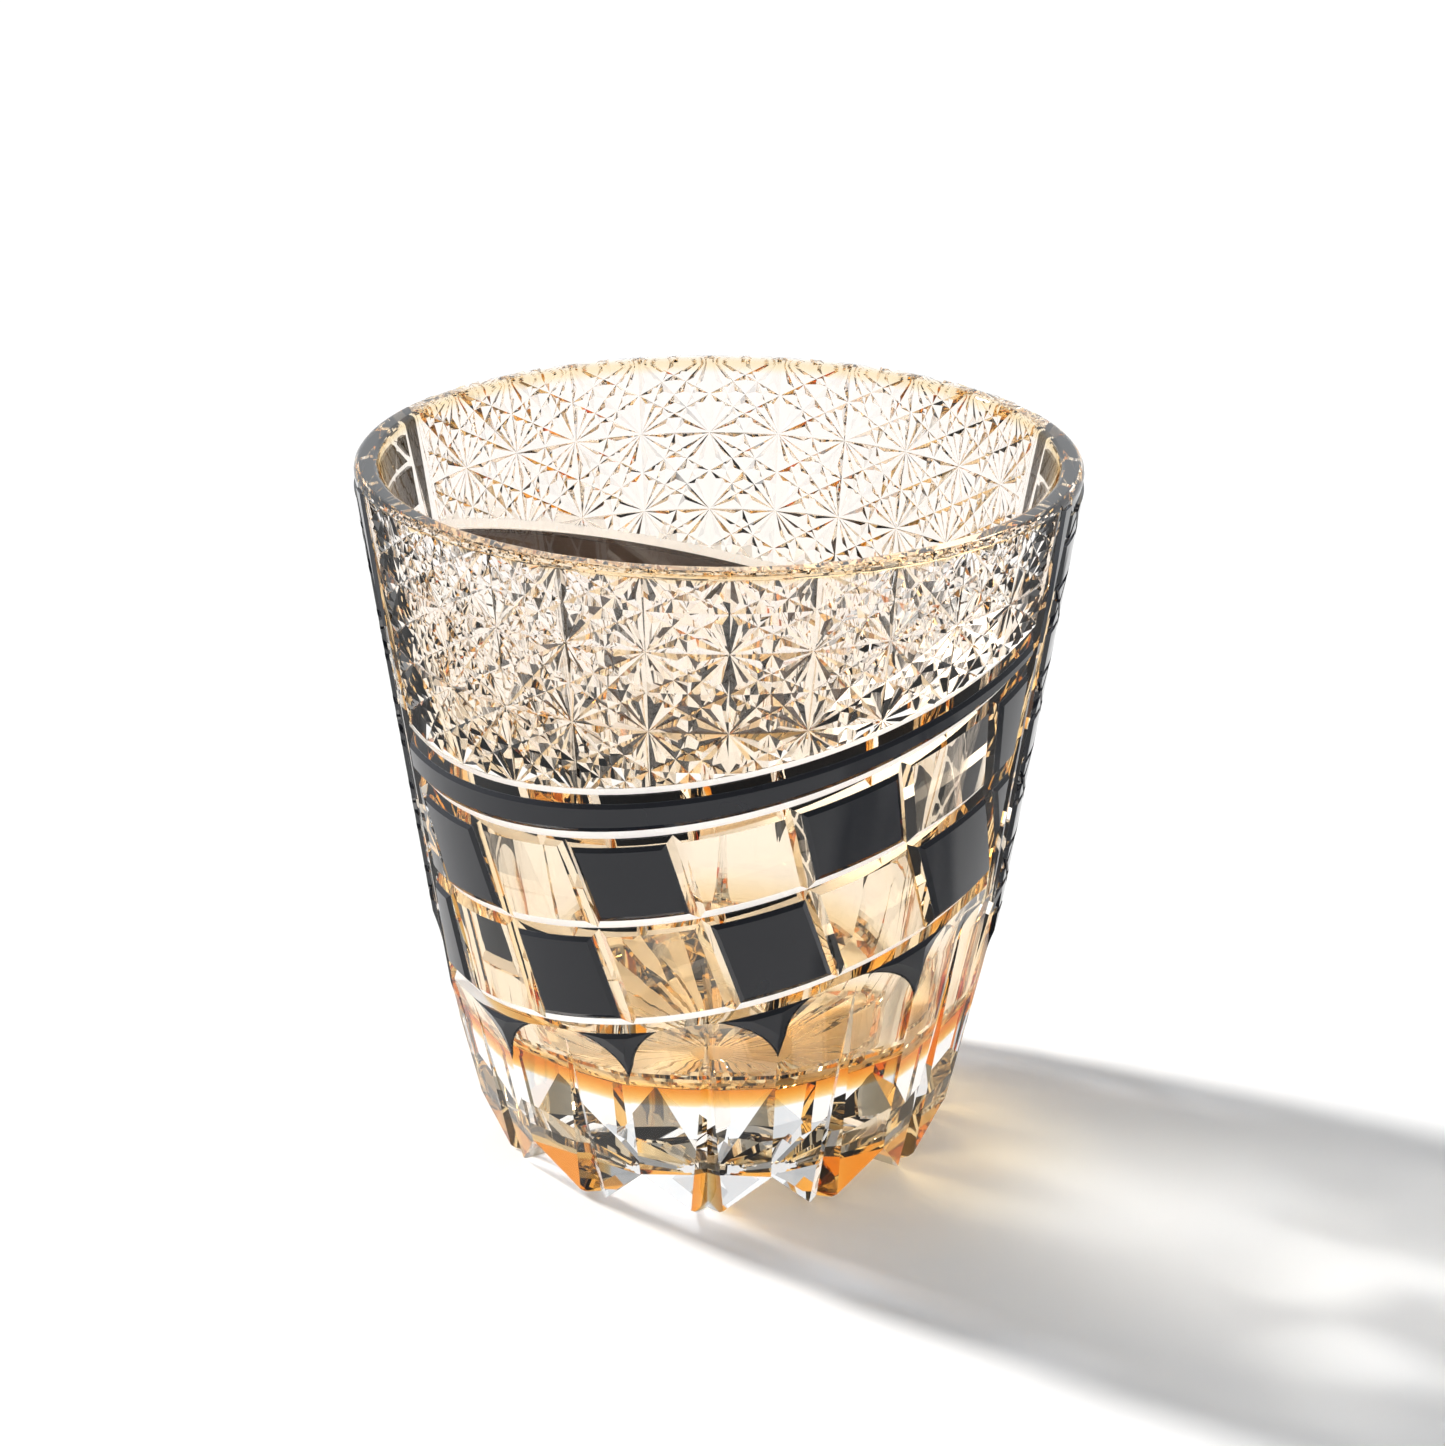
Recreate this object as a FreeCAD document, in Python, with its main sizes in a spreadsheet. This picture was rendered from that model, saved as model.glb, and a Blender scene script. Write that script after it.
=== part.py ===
"""Cut-crystal whiskey tumbler.

A clear crystal body with an amber lining and a black overlay. The overlay
survives as separate islands: a ribbon and a checker of tiles on each broad
side, cusps between the base petals, and a lattice on each narrow side.

Millimetres, +Z up, origin on the axis at the foot plane. Azimuth 0 is the
front (-Y) and grows toward +X. The ornament repeats after half a turn.
"""
import FreeCAD, Part
import math
import os
from FreeCAD import Placement, Rotation, Vector

doc = FreeCAD.newDocument("whiskey_tumbler")

DIMENSIONS = (
    # crystal body
    ("height", 90.5),
    ("base_radius", 31.95),
    ("rim_radius", 44.8),
    ("lip_round", 0.9),
    # cased layers
    ("overlay_thickness", 0.45),
    ("overlay_top", 89.4),
    ("lining_thickness", 0.7),
    ("lining_floor", 2.6),
    ("bowl_floor", 14.7),
    ("bowl_floor_radius", 26.0),
    ("bowl_rim_radius", 42.4),
    ("bowl_corner", 5.0),
    # line grooves, each following a tilted plane: height + rise * x + lean * y
    ("upper_height", 68.47),
    ("upper_rise", 0.210),
    ("upper_lean", 0.131),
    ("lower_height", 63.79),
    ("lower_rise", 0.240),
    ("lower_lean", 0.158),
    ("middle_height", 49.76),
    ("middle_rise", 0.250),
    ("middle_lean", 0.117),
    ("bottom_height", 34.76),
    ("bottom_rise", 0.239),
    ("bottom_lean", 0.098),
    ("line_half_width", 1.65),
    ("line_depth", 1.35),
    # slanted grooves between the tiles
    ("slant_half_width", 1.6),
    ("slant_depth", 1.25),
    ("slant_count", 7),
    ("slant_pitch_top", 20.0),
    ("slant_pitch_middle", 19.4),
    ("slant_pitch_bottom", 20.2),
    ("slant_start_top", -67.6),
    ("slant_start_middle", -61.0),
    ("slant_start_bottom", -56.7),
    # broad side, bounded by a pair of upright grooves at each end
    ("side_left", -71.5),
    ("side_right", 65.0),
    ("upright_gap", 4.6),
    ("upright_half_width", 1.8),
    ("upright_depth", 1.3),
    ("upright_fade_height", 76.0),
    # lattice on the narrow side
    ("lattice_pitch", 6.3),
    ("lattice_row", 5.8),
    ("lattice_top_row", 84.0),
    ("lattice_gap", 0.9),
    ("lattice_floor", 34.0),
    # petals round the base
    ("petal_count", 12),
    ("petal_start", -1.8),
    ("petal_foot_radius", 28.9),
    ("petal_arch_height", 7.2),
    ("petal_arch_depth", 1.22),
    ("petal_wheel_radius", 25.0),
    ("petal_width", 20.0),
    ("petal_groove_half_width", 2.1),
    ("petal_groove_depth", 1.7),
    # underside
    ("mitre_rise", 5.6),
    ("mitre_inner_radius", 4.0),
    ("mitre_outer_radius", 34.0),
    ("mitre_half_angle", 47.5),
    ("ray_inner_radius", 4.5),
    ("ray_outer_radius", 25.0),
    ("ray_rise", 1.15),
    ("dimple_radius", 30.0),
    ("dimple_depth", 1.2),
)

# arch height of each of the six petals in half a turn, from the front one
PETAL_TOPS = (
    ("petal_top_front", 30.6),
    ("petal_top_right", 35.3),
    ("petal_top_far_right", 40.0),
    ("petal_top_side", 33.0),
    ("petal_top_far_left", 25.0),
    ("petal_top_left", 27.0),
)

# margin by which every cutter clears the surface it enters
CLEARANCE = 1.2

# regions that pick out one island reach this share inside and outside the wall
REACH_IN, REACH_OUT = 0.8, 1.2


def make_sheet():
    """Driving dimensions, one alias per cell."""
    table = doc.addObject("Spreadsheet::Sheet", "dimensions")
    for row, (alias, number) in enumerate(DIMENSIONS + PETAL_TOPS, start=1):
        table.set("A%d" % row, alias)
        table.set("B%d" % row, str(number))
        table.setAlias("B%d" % row, alias)
    doc.recompute()
    return table


sheet = make_sheet()


def dim(alias):
    return float(sheet.get(alias))


def bind(obj, **cells):
    """Bind properties of an object to expressions over the sheet."""
    for prop, expression in cells.items():
        obj.setExpression(prop.replace("__", "."), expression)
    return obj


def add(kind, label, **cells):
    obj = doc.addObject(kind, label)
    obj.Label = label
    return bind(obj, **cells)


TAPER = (dim("rim_radius") - dim("base_radius")) / dim("height")


def crystal_radius(z):
    return dim("base_radius") + TAPER * z


def overlay_radius(z):
    return crystal_radius(z) + dim("overlay_thickness")


def at(radius, azimuth, z):
    """Point from radius, azimuth in degrees from the front, and height."""
    angle = math.radians(azimuth)
    return Vector(radius * math.sin(angle), -radius * math.cos(angle), z)


def line_height(name, azimuth):
    """Height on the overlay where a tilted line crosses an azimuth."""
    height = dim(name + "_height")
    rise = dim(name + "_rise")
    lean = dim(name + "_lean")
    angle = math.radians(azimuth)
    slope = rise * math.sin(angle) - lean * math.cos(angle)
    return (height + overlay_radius(0) * slope) / (1 - TAPER * slope)


def loft(label, sections):
    """Closed ruled solid through a row of triangles, used as a cutter."""
    wires = [Part.makePolygon(list(points) + [points[0]]) for points in sections]
    cutter = doc.addObject("Part::Feature", label)
    cutter.Label = label
    cutter.Shape = Part.makeLoft(wires, True, True)
    return cutter


def steps(start, stop, count):
    return [start + (stop - start) * i / count for i in range(count + 1)]


def line_groove(label, name):
    """V-groove that runs round a broad side along a tilted line."""
    depth = dim("line_depth")
    spread = dim("line_half_width") * (depth + CLEARANCE) / depth
    sections = []
    for azimuth in steps(dim("side_left"), dim("side_right"), 20):
        z = line_height(name, azimuth)
        outside = overlay_radius(z) + CLEARANCE
        sections.append((
            at(outside, azimuth, z + spread),
            at(outside, azimuth, z - spread),
            at(overlay_radius(z) - depth, azimuth, z),
        ))
    return loft(label, sections)


def upright_section(azimuth, z, half_width, depth):
    """Triangle in a level plane for a groove that runs up the wall."""
    outside = overlay_radius(z) + CLEARANCE
    spread = half_width * (depth + CLEARANCE) / depth
    swing = math.degrees(spread / outside)
    return (
        at(outside, azimuth - swing, z),
        at(outside, azimuth + swing, z),
        at(overlay_radius(z) - depth, azimuth, z),
    )


def slant_groove(index):
    """Groove between two tiles, bent where it crosses the middle line."""
    stops = []
    for name, line in (("top", "lower"), ("middle", "middle"), ("bottom", "bottom")):
        azimuth = dim("slant_start_" + name) + index * dim("slant_pitch_" + name)
        stops.append((azimuth, line_height(line, azimuth)))
    sections = []
    for i, (first, second) in enumerate(zip(stops, stops[1:])):
        for share in steps(0.0, 1.0, 3)[min(i, 1):]:
            azimuth = first[0] + (second[0] - first[0]) * share
            z = first[1] + (second[1] - first[1]) * share
            sections.append(upright_section(
                azimuth, z, dim("slant_half_width"), dim("slant_depth")))
    return loft("slant_groove_%d" % (index + 1), sections)


def upright_groove(label, azimuth):
    """Groove up the wall that grows shallow toward the rim."""
    fade = dim("upright_fade_height")
    rim = dim("height")
    stations = (
        (18.0, 1.0, 1.0), (fade, 1.0, 1.0), (0.5 * (fade + rim), 0.62, 0.75), (rim + 1, 0.3, 0.5))
    sections = []
    for z, width, sink in stations:
        sections.append(upright_section(
            azimuth, z, width * dim("upright_half_width"), sink * dim("upright_depth")))
    return loft(label, sections)


# ---------------------------------------------------------------- blanks
def cone(label, lower, upper, height="dimensions.height"):
    return add("Part::Cone", label, Radius1=lower, Radius2=upper, Height=height)


def cut(label, base, tool):
    obj = add("Part::Cut", label)
    obj.Base = base
    obj.Tool = tool
    return obj


def fuse(label, shapes):
    obj = add("Part::MultiFuse", label)
    obj.Shapes = shapes
    return obj


def common(label, shapes):
    obj = add("Part::MultiCommon", label)
    obj.Shapes = shapes
    return obj


def round_edge(label, base, z, radius):
    """Round the circular edge that lies at height z."""
    doc.recompute()
    numbers = [
        i for i, edge in enumerate(base.Shape.Edges, start=1)
        if abs(edge.BoundBox.ZMax - z) < 1e-6 and abs(edge.BoundBox.ZMin - z) < 1e-6
    ]
    obj = add("Part::Fillet", label)
    obj.Base = base
    obj.Edges = [(number, radius, radius) for number in numbers]
    return obj


blank = cone("blank", "dimensions.base_radius", "dimensions.rim_radius")
rounded_blank = round_edge("rounded_blank", blank, dim("height"), dim("lip_round"))

OVER = "dimensions.overlay_thickness"
OVERLAY_RIM = ("dimensions.base_radius + (dimensions.rim_radius - dimensions.base_radius)"
               " * dimensions.overlay_top / dimensions.height")
overlay_blank = cone("overlay_blank", "dimensions.base_radius + " + OVER,
                     OVERLAY_RIM + " + " + OVER, "dimensions.overlay_top")
overlay_core = cone("overlay_core", "dimensions.base_radius", OVERLAY_RIM,
                    "dimensions.overlay_top")
overlay_shell = cut("overlay_shell", overlay_blank, overlay_core)

# The bowl cutter ends just above the lip; its taper carries on past the rim.
BOWL_DEPTH = "(dimensions.height - dimensions.bowl_floor)"
BOWL_FLARE = "(dimensions.bowl_rim_radius - dimensions.bowl_floor_radius)"
LINING = "dimensions.lining_thickness"


def bowl(label, inset, lift):
    """Tapered cavity with a rounded floor corner, set in from the lining's outside."""
    taper = "%s / %s" % (BOWL_FLARE, BOWL_DEPTH)
    shape = add(
        "Part::Cone", label + "_cone",
        Radius1="dimensions.bowl_floor_radius + %s * %s - %s" % (taper, lift, inset),
        Radius2="dimensions.bowl_rim_radius + %s * (1 + %s) - %s" % (taper, lift, inset),
        Height="%s + 1" % BOWL_DEPTH,
        Placement__Base__z="dimensions.bowl_floor + %s" % lift,
    )
    floor = dim("bowl_floor") + (dim("lining_floor") if lift != "0" else 0.0)
    return round_edge(label, shape, floor, dim("bowl_corner"))


cavity = bowl("cavity", "0", "0")
drink_space = bowl("drink_space", LINING, "dimensions.lining_floor")
lining_thick = cut("lining_thick", cavity, drink_space)
lip_trim = add("Part::Cylinder", "lip_trim", Radius="dimensions.rim_radius",
               Height="dimensions.height")
lining = common("amber_lining", [lining_thick, lip_trim])


# ------------------------------------------------------- ornament cutters
line_grooves = [
    line_groove("upper_line_groove", "upper"),
    line_groove("lower_line_groove", "lower"),
    line_groove("middle_line_groove", "middle"),
    line_groove("bottom_line_groove", "bottom"),
]
slant_grooves = [slant_groove(i) for i in range(int(dim("slant_count")))]

GAP = dim("upright_gap")
upright_grooves = [
    upright_groove("right_outer_upright", dim("side_right")),
    upright_groove("right_inner_upright", dim("side_right") + GAP),
    upright_groove("left_outer_upright", dim("side_left")),
    upright_groove("left_inner_upright", dim("side_left") - GAP),
]


def petal_azimuth(index):
    return dim("petal_start") + index * 360.0 / dim("petal_count")


def petal_profile(index):
    """Knee between the flat and the arch of one petal, and the wheel centre."""
    top = dim(PETAL_TOPS[index][0])
    height = top - dim("petal_arch_height")
    knee = (crystal_radius(height) - dim("petal_arch_depth"), height)
    arch = (crystal_radius(top), top)
    run = (arch[0] - knee[0], arch[1] - knee[1])
    chord = math.hypot(run[0], run[1])
    reach = math.sqrt(dim("petal_wheel_radius") ** 2 - (0.5 * chord) ** 2)
    centre = (
        0.5 * (knee[0] + arch[0]) + reach * run[1] / chord,
        0.5 * (knee[1] + arch[1]) - reach * run[0] / chord,
    )
    return knee, centre


def petal_radius(index, z):
    """Radius of the petal face at height z, on its centre line."""
    knee, centre = petal_profile(index)
    if z < knee[1]:
        foot = dim("petal_foot_radius")
        return foot + (knee[0] - foot) * z / knee[1]
    wheel = dim("petal_wheel_radius")
    return centre[0] - math.sqrt(wheel ** 2 - (z - centre[1]) ** 2)


def petal_panel(index):
    """Wheel, lying along the tangent, that sinks the arched top of one petal."""
    azimuth = petal_azimuth(index)
    centre = petal_profile(index)[1]
    tangent = at(1.0, azimuth + 90.0, 0.0)
    start = at(centre[0], azimuth, centre[1]) - tangent * (0.5 * dim("petal_width"))
    wheel = add("Part::Cylinder", "petal_panel_%d" % (index + 1),
                Radius="dimensions.petal_wheel_radius", Height="dimensions.petal_width")
    wheel.Placement = Placement(start, Rotation(Vector(0, 0, 1), tangent))
    return wheel


def petal_flat(index):
    """Flat facet of one petal, from just above the knee down past the foot."""
    azimuth = petal_azimuth(index)
    knee = petal_profile(index)[0]
    foot = dim("petal_foot_radius")
    lean = (knee[0] - foot) / knee[1]
    high = knee[1] + 0.5
    profile = (
        (foot - 1.5 * lean, -1.5), (foot + lean * high, high), (knee[0] + 9.0, high),
        (knee[0] + 9.0, -1.5))
    half = 0.5 * dim("petal_width")
    sections = []
    for offset in (-half, half):
        side = at(offset, azimuth + 90.0, 0.0)
        sections.append([at(radius, azimuth, z) + side for radius, z in profile])
    return loft("petal_flat_%d" % (index + 1), sections)


def petal_groove(index):
    """V-groove down the middle of a petal, deepest at the foot."""
    azimuth = petal_azimuth(index)
    top = dim(PETAL_TOPS[index][0])
    sections = []
    for share in steps(0.03, 1.0, 6):
        z = (top - 1.0) * (1.0 - share) - 1.0 * share
        surface = petal_radius(index, z)
        depth = share * dim("petal_groove_depth")
        spread = share * dim("petal_groove_half_width") * (depth + CLEARANCE) / depth
        side = at(spread, azimuth + 90.0, 0.0)
        outside = at(surface + CLEARANCE, azimuth, z)
        sections.append((outside + side, outside - side, at(surface - depth, azimuth, z)))
    return loft("petal_groove_%d" % (index + 1), sections)


def mitre(index):
    """Radial V under the base, between two petals, rising toward the edge."""
    azimuth = petal_azimuth(index + 0.5)
    inner = dim("mitre_inner_radius")
    outer = dim("mitre_outer_radius")
    flare = math.tan(math.radians(dim("mitre_half_angle")))
    slope = dim("mitre_rise") / (dim("petal_foot_radius") - inner)
    sections = []
    for radius in (inner, outer):
        z = slope * (radius - inner) + 0.02
        side = at((z + 1.0) * flare, azimuth + 90.0, 0.0)
        below = at(radius, azimuth, -1.0)
        sections.append((below + side, below - side, at(radius, azimuth, z)))
    return loft("mitre_%d" % (index + 1), sections)


def ray(index, offset):
    """Shallow radial V under the base that runs out before the edge."""
    azimuth = petal_azimuth(index) + offset
    inner = dim("ray_inner_radius")
    outer = dim("ray_outer_radius")
    flare = math.tan(math.radians(dim("mitre_half_angle")))
    stations = (
        (inner, 0.3 * dim("ray_rise")), (0.5 * (inner + outer), dim("ray_rise")), (outer, -0.1))
    sections = []
    for radius, z in stations:
        side = at((z + 1.0) * flare, azimuth + 90.0, 0.0)
        below = at(radius, azimuth, -1.0)
        sections.append((below + side, below - side, at(radius, azimuth, z)))
    return loft("ray_%d_%s" % (index + 1, "left" if offset < 0 else "right"), sections)


half_petals = range(int(dim("petal_count")) // 2)
petal_cutters = [petal_panel(i) for i in half_petals]
petal_cutters += [petal_flat(i) for i in half_petals]
petal_grooves = [petal_groove(i) for i in half_petals]
mitres = [mitre(i) for i in half_petals]
ray_spread = 60.0 / dim("petal_count")
rays = [ray(i, side * ray_spread) for i in half_petals for side in (-1, 1)]

dimple = add("Part::Sphere", "dimple", Radius="dimensions.dimple_radius",
             Placement__Base__z="dimensions.dimple_depth - dimensions.dimple_radius")


def half_turn(label, shapes):
    """Second set of shapes, turned half a turn about the axis."""
    obj = doc.addObject("Part::Compound", label)
    obj.Label = label
    obj.Links = shapes
    obj.Placement = Placement(Vector(0, 0, 0), Rotation(Vector(0, 0, 1), 180.0))
    return obj


# ------------------------------------------------------------ crystal body
ornament = fuse("ornament_cutters", line_grooves + slant_grooves + upright_grooves)
base_cuts = fuse("base_cutters", petal_cutters)
hollow = cut("hollow_blank", rounded_blank, cavity)
stage_one = cut("body_first_side", hollow, ornament)
stage_two = cut("body_second_side", stage_one, half_turn("ornament_turned", [ornament]))
stage_three = cut("body_petals_front", stage_two, base_cuts)
stage_four = cut("body_petals_back", stage_three, half_turn("base_turned", [base_cuts]))
groove_set = fuse("petal_groove_set", petal_grooves)
stage_five = cut("body_grooves_front", stage_four, groove_set)
stage_six = cut("body_grooves_back", stage_five, half_turn("grooves_turned", [groove_set]))
mitre_set = fuse("mitre_set", mitres + rays + [dimple])
stage_seven = cut("body_mitres_front", stage_six, mitre_set)
crystal = cut("crystal_body", stage_seven, half_turn("mitres_turned", [mitre_set]))


# --------------------------------------------------------- overlay islands
ornament_turned = half_turn("island_ornament_turned", [ornament])
base_turned = half_turn("island_base_turned", [base_cuts])


def block(label, rings):
    """Radial block through a row of (azimuth, low, high) stations."""
    sections = []
    for azimuth, low, high in rings:
        sections.append((
            at(REACH_IN * crystal_radius(low), azimuth, low),
            at(REACH_OUT * crystal_radius(low), azimuth, low),
            at(REACH_OUT * crystal_radius(high), azimuth, high),
            at(REACH_IN * crystal_radius(high), azimuth, high),
        ))
    return loft(label, sections)


def tile_block(label, corners):
    """Radial block over four (azimuth, height) corners."""
    near = [at(REACH_IN * crystal_radius(z), azimuth, z) for azimuth, z in corners]
    far = [at(REACH_OUT * crystal_radius(z), azimuth, z) for azimuth, z in corners]
    return loft(label, (near, far))


def island(label, region, cutters):
    """Piece of the overlay inside a region, parted from the rest by cutters."""
    piece = common(label + "_plate", [overlay_shell, region])
    for number, cutter in enumerate(cutters[:-1], start=1):
        piece = cut("%s_cut_%d" % (label, number), piece, cutter)
    return cut(label, piece, cutters[-1])


def slant_at(index, name, line):
    """Crossing of a slanted groove with a line groove, kept on the broad side."""
    azimuth = dim("slant_start_" + name) + index * dim("slant_pitch_" + name)
    azimuth = min(max(azimuth, dim("side_left")), dim("side_right"))
    return azimuth, line_height(line, azimuth)


def tile(label, index, upper):
    """Overlay left between two slanted grooves in the upper or lower row."""
    names = (("top", "lower"), ("middle", "middle"), ("bottom", "bottom"))
    high, low = names[0:2] if upper else names[1:3]
    corners = [
        slant_at(index, *high),
        slant_at(index + 1, *high),
        slant_at(index + 1, *low),
        slant_at(index, *low),
    ]
    return island(label, tile_block(label + "_region", corners), [ornament])


def ribbon(label):
    stations = [
        (azimuth, line_height("lower", azimuth), line_height("upper", azimuth))
        for azimuth in steps(dim("side_left"), dim("side_right"), 20)
    ]
    return island(label, block(label + "_region", stations), [ornament])


def cusp(label, index):
    """Overlay left above the boundary of two petals, under the bottom line."""
    left, right = petal_azimuth(index), petal_azimuth(index + 1)
    stations = []
    for azimuth in steps(left, right, 6):
        inside = dim("side_left") < azimuth < dim("side_right")
        high = line_height("bottom", azimuth) if inside else dim("lattice_floor")
        stations.append((azimuth, 12.0, high))
    return island(label, block(label + "_region", stations),
                  [ornament, ornament_turned, base_cuts, base_turned])


def strip(label, azimuth):
    """Narrow wedge between a pair of upright grooves, below the rim."""
    high = dim("overlay_top") + 0.5
    low = dim("upright_fade_height") - 4.0
    region = block(label + "_region", [(azimuth, low, high), (azimuth + GAP, low, high)])
    return island(label, region, [ornament, ornament_turned])


def lattice(label):
    """Narrow side between its inner upright grooves, cut into small islands."""
    left = dim("side_right") + GAP
    right = dim("side_left") - GAP + 180.0
    middle = 0.5 * (left + right)
    stations = [
        (azimuth, dim("lattice_floor"), dim("overlay_top") + 0.5)
        for azimuth in steps(left, right, 4)
    ]
    plate = island(label + "_stock", block(label + "_region", stations),
                   [ornament, ornament_turned])
    row, pitch = dim("lattice_row"), dim("lattice_pitch")
    top, floor = dim("lattice_top_row"), dim("lattice_floor")
    tilt = math.degrees(math.atan2(row, pitch))
    reach = 2.0 * pitch * row / pitch
    lines = []
    for i in range(int((top - floor) / row) + 1):
        lines.append((top - i * row, 0.0))
    for i in range(-8, 3):
        centre = top + 2.0 * row * i
        for height, angle in ((centre + reach, tilt), (centre - reach + row, -tilt)):
            if floor - reach < height < top + row + reach:
                lines.append((height, angle))
    slabs = [lattice_slab("%s_line_%d" % (label, n + 1), middle, height, angle)
             for n, (height, angle) in enumerate(lines)]
    return cut(label, plate, fuse(label + "_lines", slabs))


def lattice_slab(label, azimuth, height, tilt):
    """Thin slab along the radial direction, tilted about it, that parts islands."""
    slab = add("Part::Box", label, Length="2 * dimensions.rim_radius",
               Width="2 * dimensions.rim_radius", Height="dimensions.lattice_gap")
    turn = Rotation(Vector(0, 0, 1), azimuth - 90.0).multiply(
        Rotation(Vector(1, 0, 0), tilt))
    corner = Vector(0, -dim("rim_radius"), -0.5 * dim("lattice_gap"))
    slab.Placement = Placement(Vector(0, 0, height) + turn.multVec(corner), turn)
    return slab


def broad_side():
    """Every overlay island of the front, in the order of its rows."""
    pieces = {"ribbon": ribbon("front_ribbon")}
    for number, index in enumerate((0, 2, 4, 6), start=1):
        name = "upper_tile_%d" % number
        pieces[name] = tile("front_" + name, index, True)
    for number, index in enumerate((-1, 1, 3, 5, 6), start=1):
        name = "lower_tile_%d" % number
        pieces[name] = tile("front_" + name, index, False)
    for number, index in enumerate((-2, -1, 0, 1), start=1):
        name = "cusp_%d" % number
        pieces[name] = cusp("front_" + name, index)
    return pieces


nodes = [crystal, lining]
for name, piece in broad_side().items():
    nodes += [piece, half_turn("back_" + name, [piece])]

narrow = {
    "front_strip": strip("right_front_strip", dim("side_right")),
    "back_strip": strip("right_back_strip", dim("side_left") - GAP + 180.0),
    "lattice": lattice("right_lattice"),
    "front_cusp": cusp("right_front_cusp", 2),
    "back_cusp": cusp("right_back_cusp", 3),
}
MIRRORED = {"front_strip": "back_strip", "back_strip": "front_strip",
            "front_cusp": "back_cusp", "back_cusp": "front_cusp"}
for name, piece in narrow.items():
    nodes += [piece, half_turn("left_" + MIRRORED.get(name, name), [piece])]

doc.recompute()

for item in doc.Objects:
    if "Invalid" in item.State or "Error" in item.State:
        raise RuntimeError("%s did not recompute" % item.Label)
for node in nodes:
    if node.Shape.isNull() or not node.Shape.isValid() or not node.Shape.Solids:
        raise RuntimeError("%s has no valid solid" % node.Label)

os.makedirs("parts", exist_ok=True)
for node in nodes:
    node.Shape.exportStep("parts/%s.step" % node.Label)
    print("%-24s %3d solids %10.1f mm3" % (node.Label, len(node.Shape.Solids), node.Shape.Volume))
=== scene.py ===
"""Look of the cut-crystal whiskey tumbler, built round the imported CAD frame."""

import math

import bmesh
import bpy
from mathutils import Matrix, Vector


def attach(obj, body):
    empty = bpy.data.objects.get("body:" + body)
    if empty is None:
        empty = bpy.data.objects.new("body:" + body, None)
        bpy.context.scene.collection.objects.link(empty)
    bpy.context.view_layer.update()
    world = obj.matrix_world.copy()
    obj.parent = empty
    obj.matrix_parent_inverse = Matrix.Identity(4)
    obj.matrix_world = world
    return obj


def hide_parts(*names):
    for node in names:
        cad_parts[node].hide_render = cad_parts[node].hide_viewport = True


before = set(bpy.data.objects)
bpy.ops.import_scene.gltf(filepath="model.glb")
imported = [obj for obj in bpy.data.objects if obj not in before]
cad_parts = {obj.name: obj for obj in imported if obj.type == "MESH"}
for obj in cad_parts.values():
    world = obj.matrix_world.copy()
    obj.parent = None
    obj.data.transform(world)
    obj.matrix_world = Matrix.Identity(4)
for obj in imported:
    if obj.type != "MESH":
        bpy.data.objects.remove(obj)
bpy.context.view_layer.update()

MM = 0.001

# --- shape of the glass, in millimetres and degrees from the front (-Y) ---
HEIGHT = 90.5
BASE_R, RIM_R = 31.95, 44.8
TAPER = (RIM_R - BASE_R) / HEIGHT
LIP = 0.9
LATHE_STEPS = 240

# black overlay: thickness, foot, top, how far it sinks into the crystal, and how much
# wider than in the crystal the grooves are cut in it
OVERLAY, OVERLAY_FOOT, OVERLAY_TOP = 0.45, 16.0, 87.6
OVERLAY_SUNK, OVERLAY_WIDEN = 0.08, 0.02

# bowl: the face between crystal and amber lining, then the lining on the drinking side
FLOOR_Z, FLOOR_R, BOWL_RIM_R = 14.7, 26.0, 42.4
BOWL_CORNER, CORNER_INSET = 5.0, 0.98
BOWL_RISE = (BOWL_RIM_R - FLOOR_R) / (HEIGHT - FLOOR_Z)
LINING, LINING_FLOOR, LINING_SUNK = 0.7, 2.6, 0.03
LINING_TOP = HEIGHT - 0.25
# share of the lining's thickness by height: less and less upward, then a bead
LINING_SHARES = ((26.0, 1.0), (40.0, 1.0), (52.0, 0.8), (66.0, 0.5), (80.0, 0.3),
                 (88.7, 0.25), (89.2, 2.8), (LINING_TOP, 2.8))
DRINK_Z = FLOOR_Z + LINING_FLOOR
DRINK_R = FLOOR_R + BOWL_RISE * LINING_FLOOR - LINING

# one broad side lies between its outer upright grooves; the inner ones are a gap further,
# and the right lattice is in the middle between the two broad sides
SIDE_LEFT, SIDE_RIGHT, GAP = -71.5, 65.0, 4.6
LATTICE_MIDDLE = 0.5 * (SIDE_RIGHT + SIDE_LEFT + 180.0)

# line grooves in tilted planes: height on the axis, rise toward +X, fall toward the front
LINES = {
    "upper": (68.47, 0.210, 0.131),
    "lower": (63.79, 0.240, 0.158),
    "middle": (49.76, 0.250, 0.117),
    "bottom": (34.76, 0.239, 0.098),
}
LINE_HALF, LINE_DEPTH = 1.65, 1.35

# slanting grooves: azimuth of number 0 on each line, and the step to the next one
SLANTS = {"lower": (-67.6, 20.0), "middle": (-61.0, 19.4), "bottom": (-56.7, 20.2)}
SLANT_COUNT, SLANT_HALF, SLANT_DEPTH = 7, 1.6, 1.25
UPPER_BLACK, LOWER_BLACK = (0, 2, 4, 6), (-1, 1, 3, 5, 6)

# upright grooves: half width, depth, where they start to fade, and (z, width, sink) shares
UPRIGHT_HALF, UPRIGHT_DEPTH, FADE = 1.8, 1.3, 76.0
UPRIGHT_STATIONS = ((14.0, 1.0, 1.0), (45.0, 1.0, 1.0), (FADE, 1.0, 1.0),
                    (0.5 * (FADE + HEIGHT), 0.62, 0.75), (HEIGHT + 1, 0.3, 0.5))

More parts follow.
